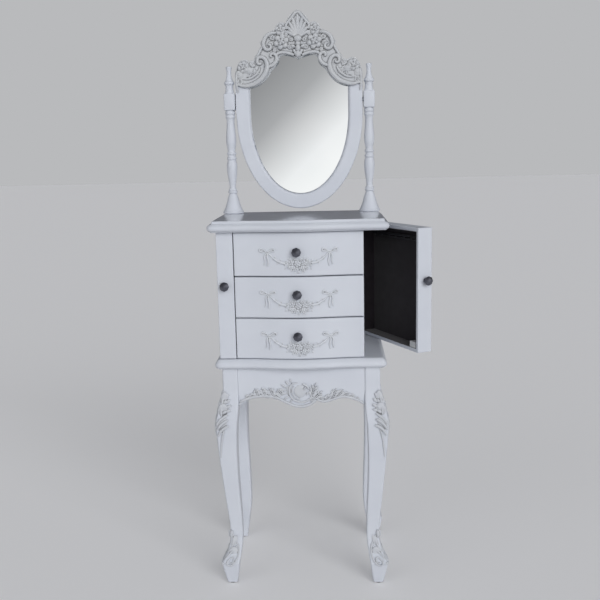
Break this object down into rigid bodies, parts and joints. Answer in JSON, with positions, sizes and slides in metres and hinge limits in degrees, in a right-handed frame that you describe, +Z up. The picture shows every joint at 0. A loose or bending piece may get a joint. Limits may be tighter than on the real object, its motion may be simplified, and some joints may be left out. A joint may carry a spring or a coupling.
{
  "type": "jewelry cabinet",
  "caption": "Standing white jewelry cabinet on cabriole legs, with bowed drawers, swing-out side doors, and a tilting mirror with a carved crest between turned posts.",
  "frame": {"origin": "on the floor, under the middle of the stand", "axes": "+X to the right as seen from the front, +Y towards the back, +Z up"},
  "size_m": [0.5248, 0.3186, 1.4005],
  "materials": {
    "white_painted_wood": "smooth satin white paint",
    "carved_white_wood": "carved, satin white paint",
    "pale_drawer_wood": "plain sanded wood",
    "black_velvet": "matt black pile",
    "pewter": "dark pewter, satin",
    "brass": "satin",
    "steel": "satin",
    "blackened_steel": "satin black",
    "mirror": "silvered glass",
    "backing_board": "hardboard",
    "glide_plastic": "matt",
    "catch_plastic": "matt light grey"
  },
  "bodies": {
    "cabinet": {"front_right_leg": "white_painted_wood", "front_left_leg": "white_painted_wood", "back_right_leg": "white_painted_wood", "back_left_leg": "white_painted_wood", "foot_glides": "glide_plastic", "front_apron": "white_painted_wood", "apron_carving": "carved_white_wood", "back_apron": "white_painted_wood", "left_apron": "white_painted_wood", "right_apron": "white_painted_wood", "corner_blocks": "pale_drawer_wood", "base_panel": "white_painted_wood", "back_panel": "white_painted_wood", "left_side_panel": "white_painted_wood", "right_side_panel": "white_painted_wood", "drawer_runners": "pale_drawer_wood", "top_panel": "white_painted_wood", "fixed_hinge_leaves": "brass", "strike_plates": "steel", "left_post": "white_painted_wood", "right_post": "white_painted_wood", "pivot_pins": "steel"},
    "mirror": {"mirror_frame": "white_painted_wood", "crest_carving": "carved_white_wood", "mirror_glass": "mirror", "mirror_backing": "backing_board", "backing_turn_buttons": "brass", "pivot_bushes": "brass"},
    "upper_drawer": {"upper_drawer_front": "white_painted_wood", "upper_drawer_box": "pale_drawer_wood", "upper_drawer_lining": "black_velvet", "upper_drawer_knob": "pewter", "upper_drawer_swag": "carved_white_wood"},
    "middle_drawer": {"middle_drawer_front": "white_painted_wood", "middle_drawer_box": "pale_drawer_wood", "middle_drawer_lining": "black_velvet", "middle_drawer_knob": "pewter", "middle_drawer_swag": "carved_white_wood"},
    "lower_drawer": {"lower_drawer_front": "white_painted_wood", "lower_drawer_box": "pale_drawer_wood", "lower_drawer_lining": "black_velvet", "lower_drawer_knob": "pewter", "lower_drawer_swag": "carved_white_wood"},
    "left_door": {"left_door_panel": "white_painted_wood", "left_door_frame": "white_painted_wood", "left_door_lining": "black_velvet", "left_door_knob": "pewter", "left_door_hooks": "blackened_steel", "left_door_catch": "catch_plastic", "left_door_hinge_leaves": "brass"},
    "right_door": {"right_door_panel": "white_painted_wood", "right_door_frame": "white_painted_wood", "right_door_lining": "black_velvet", "right_door_knob": "pewter", "right_door_hooks": "blackened_steel", "right_door_catch": "catch_plastic", "right_door_hinge_leaves": "brass"}
  },
  "joints": [
    {"name": "mirror_tilt", "type": "hinge", "parent": "cabinet", "child": "mirror", "pos_m": [0, 0.11, 1.1825], "axis": [1, 0, 0], "continuous": true},
    {"name": "upper_drawer_slide", "type": "slide", "parent": "cabinet", "child": "upper_drawer", "axis": [0, -1, 0], "range_m": [0, 0.18]},
    {"name": "middle_drawer_slide", "type": "slide", "parent": "cabinet", "child": "middle_drawer", "axis": [0, -1, 0], "range_m": [0, 0.18]},
    {"name": "lower_drawer_slide", "type": "slide", "parent": "cabinet", "child": "lower_drawer", "axis": [0, -1, 0], "range_m": [0, 0.18]},
    {"name": "left_door_hinge", "type": "hinge", "parent": "cabinet", "child": "left_door", "pos_m": [-0.1515, 0.1369, 0.7245], "axis": [0, 0, -1], "range_deg": [0, 110]},
    {"name": "right_door_hinge", "type": "hinge", "parent": "cabinet", "child": "right_door", "pos_m": [0.1515, 0.1369, 0.7245], "axis": [0, 0, 1], "range_deg": [-28, 82]}
  ]
}
